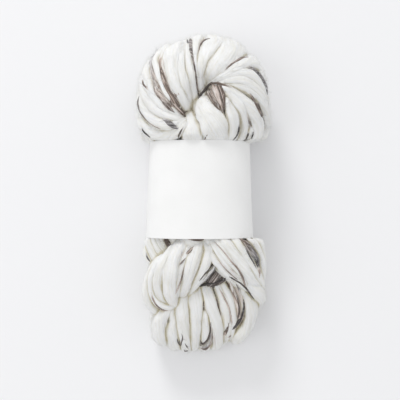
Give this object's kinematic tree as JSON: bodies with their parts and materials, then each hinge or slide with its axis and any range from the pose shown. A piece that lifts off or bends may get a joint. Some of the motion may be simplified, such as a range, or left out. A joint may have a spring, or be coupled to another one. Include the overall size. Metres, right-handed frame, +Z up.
{
  "type": "handspun yarn hank with a paper band",
  "caption": "Twisted hank of thick handspun wool yarn, its head tucked into a knot and its foot in loops, held by a paper band round the waist.",
  "frame": {"origin": "middle of the paper band's flat underside, on the surface that the hank lies on", "axes": "+Y along the hank towards its knotted head, +Z up from the surface, +X to the right seen from above with the head at the top"},
  "size_m": [0.0987, 0.237, 0.0714],
  "materials": {
    "wool": "soft thick and thin wool singles, cream white with streaks of grey-brown fibre",
    "paper": "matt uncoated white paper, with nothing printed on it"
  },
  "bodies": {
    "root": {"yarn_hank": "wool", "paper_band": "paper"}
  },
  "joints": []
}
